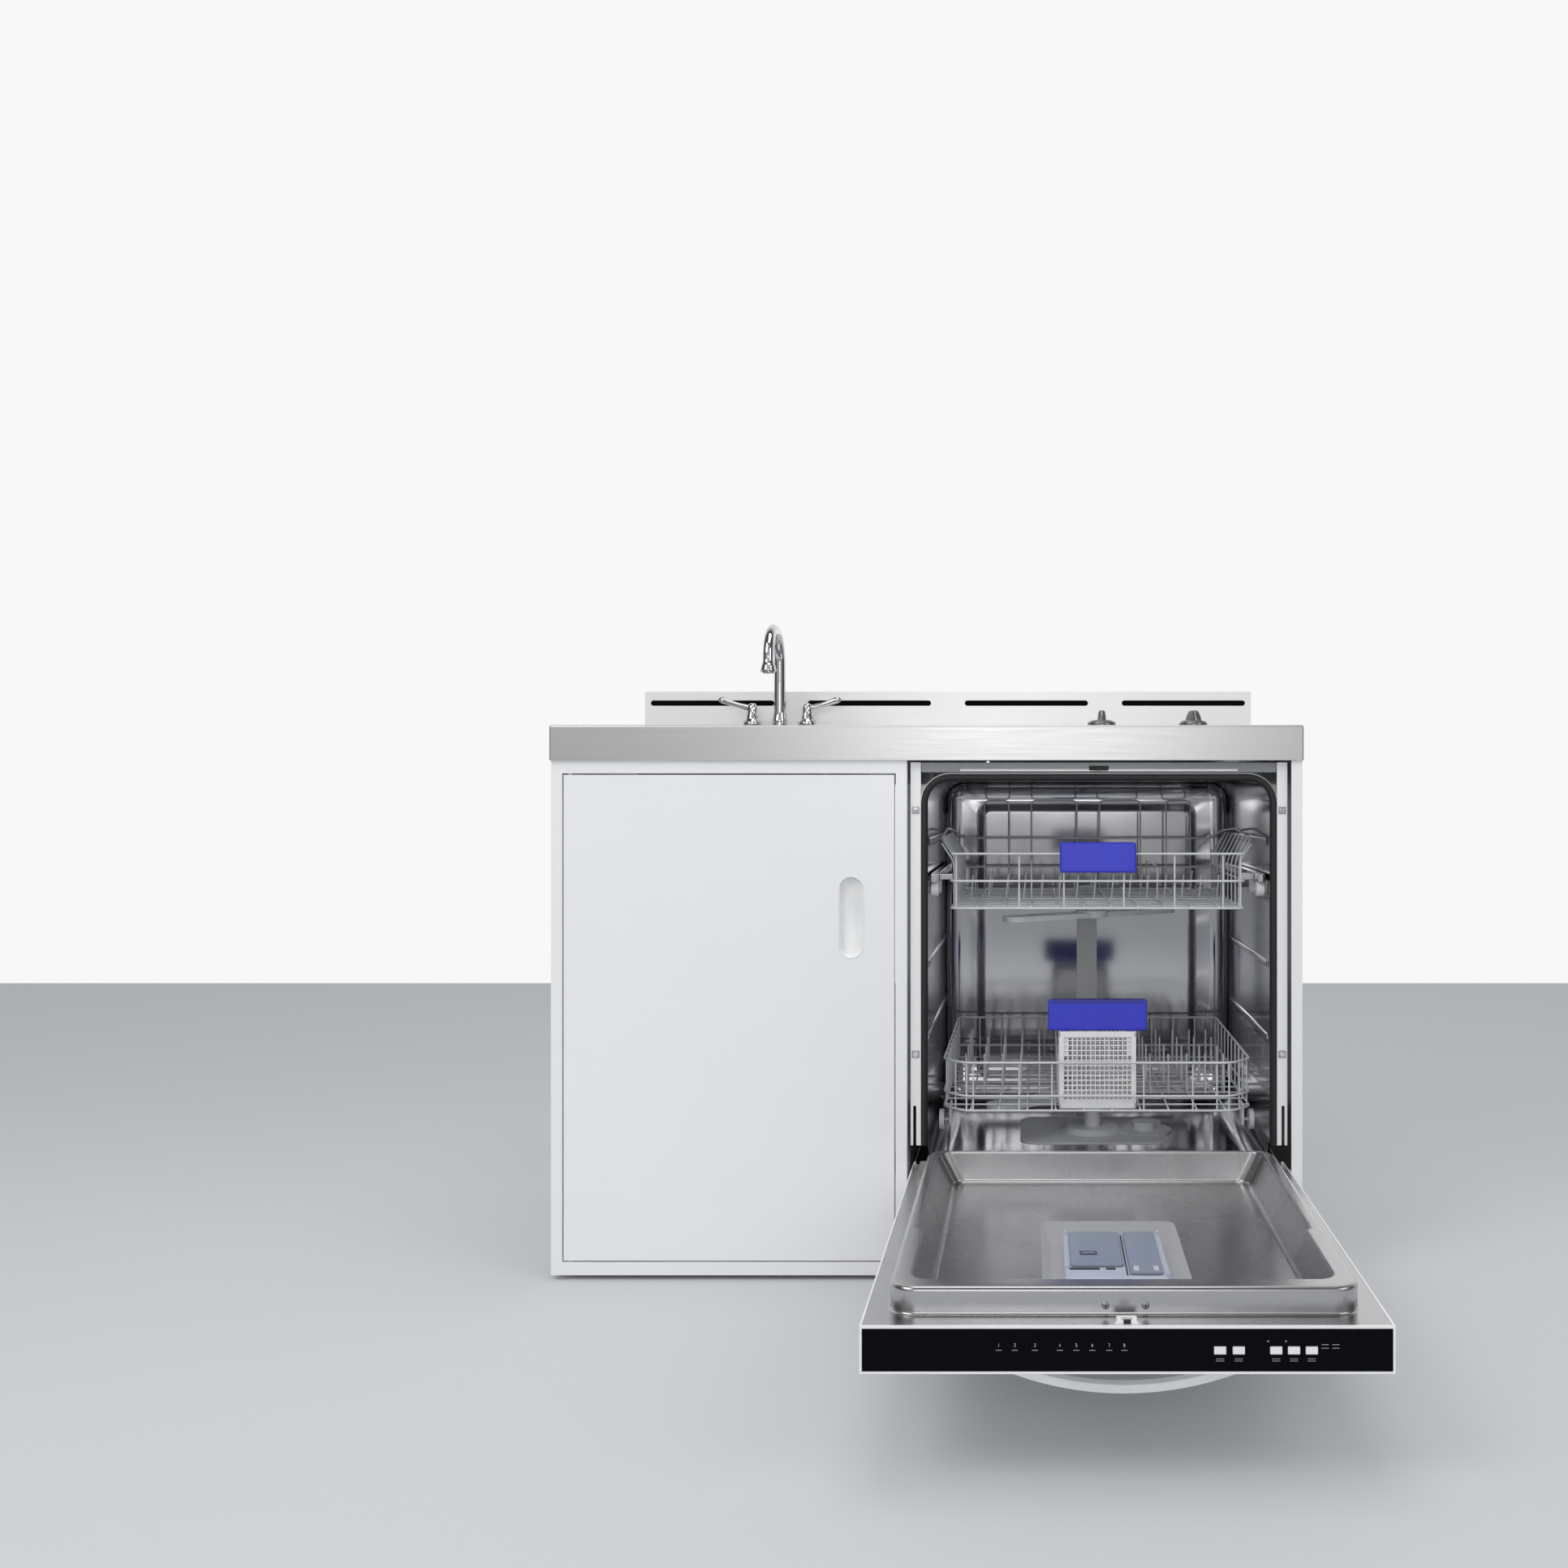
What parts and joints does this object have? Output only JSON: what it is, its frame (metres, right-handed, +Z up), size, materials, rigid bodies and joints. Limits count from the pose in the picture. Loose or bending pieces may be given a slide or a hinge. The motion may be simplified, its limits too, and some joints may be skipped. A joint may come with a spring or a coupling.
{
  "type": "kitchenette unit with sink, hob and built-in dishwasher",
  "caption": "Steel base unit with a stainless worktop: sink and faucet over a door cupboard, coil hob over a built-in dishwasher whose door lies open.",
  "frame": {"origin": "middle of the back, at floor level, on the wall plane", "axes": "+Z up, +Y towards the wall behind the unit, +X to the right for someone who stands in front"},
  "size_m": [1.219, 1.3014, 1.115],
  "materials": {
    "painted_white": "semi-gloss baked enamel",
    "stainless": "brushed",
    "tub_steel": "bright, lightly polished",
    "chrome": "polished",
    "coil_alloy": "matt dark oxide",
    "zinc_steel": "zinc plated",
    "black_rubber": "matt",
    "black_plastic": "gloss",
    "dark_plastic": "matt",
    "grey_knob": "satin metallic",
    "white_plastic": "satin",
    "light_grey_plastic": "matt",
    "blue_plastic": "satin",
    "rack_wire": "nylon-coated wire",
    "dispenser_blue_grey": "satin"
  },
  "bodies": {
    "unit": {"left_side_panel": "painted_white", "right_side_panel": "painted_white", "centre_partition": "painted_white", "cabinet_floor": "painted_white", "face_frame": "painted_white", "rear_rails": "painted_white", "levelling_feet": "black_rubber", "worktop": "stainless", "backsplash": "stainless", "sink_bowl": "stainless", "drain_flange": "stainless", "drain_trap": "white_plastic", "faucet_base": "chrome", "drip_bowls": "chrome", "hob_underbox": "zinc_steel", "hob_switchgear": "dark_plastic", "tub": "tub_steel", "tub_gasket": "black_rubber", "mounting_strips": "painted_white", "strip_screws": "chrome", "chassis_base": "zinc_steel", "sump_filter": "light_grey_plastic", "pump_unit": "dark_plastic", "water_riser": "light_grey_plastic", "door_hinge_brackets": "zinc_steel", "latch_strike": "black_plastic"},
    "rollers_front": {"rail_rollers_front": "white_plastic"},
    "rollers_rear": {"rail_rollers_rear": "white_plastic"},
    "cabinet_door_leaf": {"cabinet_door": "painted_white", "recess_pull": "white_plastic"},
    "faucet_spout": {"spout": "chrome"},
    "hot_lever": {"hot_handle": "chrome"},
    "cold_lever": {"cold_handle": "chrome"},
    "strainer": {"strainer_basket": "stainless"},
    "knob_left": {"left_knob": "grey_knob"},
    "knob_right": {"right_knob": "grey_knob"},
    "coil_left": {"left_coil": "coil_alloy"},
    "coil_right": {"right_coil": "coil_alloy"},
    "dishwasher_door": {"door_outer_panel": "painted_white", "door_inner_panel": "stainless", "control_fascia": "black_plastic", "bow_handle": "white_plastic", "dispenser_body": "dispenser_blue_grey", "door_hinge_arms": "zinc_steel", "door_latch": "white_plastic"},
    "detergent_flap": {"dispenser_lid": "dispenser_blue_grey"},
    "rinse_flap": {"rinse_lid": "dispenser_blue_grey"},
    "push_1": {"button_1": "white_plastic"},
    "push_2": {"button_2": "white_plastic"},
    "push_3": {"button_3": "white_plastic"},
    "push_4": {"button_4": "white_plastic"},
    "push_5": {"button_5": "white_plastic"},
    "rack_upper": {"upper_rack": "rack_wire", "upper_rack_handle": "blue_plastic"},
    "arm_upper": {"upper_spray_arm": "light_grey_plastic"},
    "rack_lower": {"lower_rack": "rack_wire"},
    "wheels_front": {"lower_wheels_front": "light_grey_plastic"},
    "wheels_rear": {"lower_wheels_rear": "light_grey_plastic"},
    "cutlery": {"cutlery_basket": "white_plastic"},
    "arm_lower": {"lower_spray_arm": "light_grey_plastic"}
  },
  "joints": [
    {"name": "cabinet_door_swing", "type": "hinge", "parent": "unit", "child": "cabinet_door_leaf", "pos_m": [-0.5785, -0.5975, 0.4245], "axis": [0, 0, -1], "range_deg": [0, 100]},
    {"name": "spout_swivel", "type": "hinge", "parent": "unit", "child": "faucet_spout", "pos_m": [-0.328, -0.105, 0.918], "axis": [0, 0, 1], "range_deg": [-90, 90]},
    {"name": "hot_turn", "type": "hinge", "parent": "unit", "child": "hot_lever", "pos_m": [-0.382, -0.105, 0.943], "axis": [0, 0, 1], "range_deg": [0, 90]},
    {"name": "cold_turn", "type": "hinge", "parent": "unit", "child": "cold_lever", "pos_m": [-0.274, -0.105, 0.943], "axis": [0, 0, -1], "range_deg": [0, 90]},
    {"name": "strainer_lift", "type": "slide", "parent": "unit", "child": "strainer", "axis": [0, 0, 1], "range_m": [0, 0.12]},
    {"name": "left_knob_turn", "type": "hinge", "parent": "unit", "child": "knob_left", "pos_m": [0.28802, -0.5, 0.8865], "axis": [0, 0, -1], "range_deg": [0, 290]},
    {"name": "right_knob_turn", "type": "hinge", "parent": "unit", "child": "knob_right", "pos_m": [0.44302, -0.5, 0.8865], "axis": [0, 0, -1], "range_deg": [0, 290]},
    {"name": "left_coil_tilt", "type": "hinge", "parent": "unit", "child": "coil_left", "pos_m": [0.25698, -0.1716, 0.8875], "axis": [-1, 0, 0], "range_deg": [0, 10]},
    {"name": "right_coil_tilt", "type": "hinge", "parent": "unit", "child": "coil_right", "pos_m": [0.473, -0.1896, 0.8875], "axis": [-1, 0, 0], "range_deg": [0, 10]},
    {"name": "door_drop", "type": "hinge", "parent": "unit", "child": "dishwasher_door", "pos_m": [0.279, -0.624, 0.162], "axis": [-1, 0, 0], "range_deg": [0, 90]},
    {"name": "detergent_lid_flip", "type": "hinge", "parent": "dishwasher_door", "child": "detergent_flap", "pos_m": [0.216, -1.045, 0.188], "axis": [0, 1, 0], "range_deg": [-100, 0]},
    {"name": "rinse_lid_flip", "type": "hinge", "parent": "dishwasher_door", "child": "rinse_flap", "pos_m": [0.342, -1.045, 0.188], "axis": [0, -1, 0], "range_deg": [-100, 0]},
    {"name": "press_1", "type": "slide", "parent": "dishwasher_door", "child": "push_1", "axis": [0, 1, 0], "range_m": [0, 0.001], "stiffness_N_per_m": 2000, "springref_m": -0.0005},
    {"name": "press_2", "type": "slide", "parent": "dishwasher_door", "child": "push_2", "axis": [0, 1, 0], "range_m": [0, 0.001], "stiffness_N_per_m": 2000, "springref_m": -0.0005},
    {"name": "press_3", "type": "slide", "parent": "dishwasher_door", "child": "push_3", "axis": [0, 1, 0], "range_m": [0, 0.001], "stiffness_N_per_m": 2000, "springref_m": -0.0005},
    {"name": "press_4", "type": "slide", "parent": "dishwasher_door", "child": "push_4", "axis": [0, 1, 0], "range_m": [0, 0.001], "stiffness_N_per_m": 2000, "springref_m": -0.0005},
    {"name": "press_5", "type": "slide", "parent": "dishwasher_door", "child": "push_5", "axis": [0, 1, 0], "range_m": [0, 0.001], "stiffness_N_per_m": 2000, "springref_m": -0.0005},
    {"name": "upper_rack_slide", "type": "slide", "parent": "unit", "child": "rack_upper", "axis": [0, 1, 0], "range_m": [-0.4, 0]},
    {"name": "lower_rack_slide", "type": "slide", "parent": "unit", "child": "rack_lower", "axis": [0, 1, 0], "range_m": [-0.4, 0]},
    {"name": "roller_front_roll", "type": "hinge", "parent": "unit", "child": "rollers_front", "pos_m": [0.279, -0.54, 0.6287], "axis": [1, 0, 0], "range_deg": [-10, 1920]},
    {"name": "roller_rear_roll", "type": "hinge", "parent": "unit", "child": "rollers_rear", "pos_m": [0.279, -0.47, 0.6287], "axis": [1, 0, 0], "range_deg": [-10, 1920]},
    {"name": "wheel_front_roll", "type": "hinge", "parent": "rack_lower", "child": "wheels_front", "pos_m": [0.279, -0.5, 0.2373], "axis": [1, 0, 0], "range_deg": [-10, 1360]},
    {"name": "wheel_rear_roll", "type": "hinge", "parent": "rack_lower", "child": "wheels_rear", "pos_m": [0.279, -0.14, 0.2373], "axis": [1, 0, 0], "range_deg": [-10, 1360]},
    {"name": "upper_arm_spin", "type": "hinge", "parent": "rack_upper", "child": "arm_upper", "pos_m": [0.279, -0.3066, 0.57], "axis": [0, 0, 1], "continuous": true},
    {"name": "lower_arm_spin", "type": "hinge", "parent": "unit", "child": "arm_lower", "pos_m": [0.279, -0.3066, 0.243], "axis": [0, 0, 1], "continuous": true},
    {"name": "cutlery_lift", "type": "slide", "parent": "rack_lower", "child": "cutlery", "axis": [0, 0, 1], "range_m": [0, 0.1]}
  ],
  "couplings": [
    {"joint": "roller_front_roll", "follows": "upper_rack_slide", "rad_per_m": -83.333},
    {"joint": "roller_rear_roll", "follows": "upper_rack_slide", "rad_per_m": -83.333},
    {"joint": "wheel_front_roll", "follows": "lower_rack_slide", "rad_per_m": -58.824},
    {"joint": "wheel_rear_roll", "follows": "lower_rack_slide", "rad_per_m": -58.824}
  ]
}
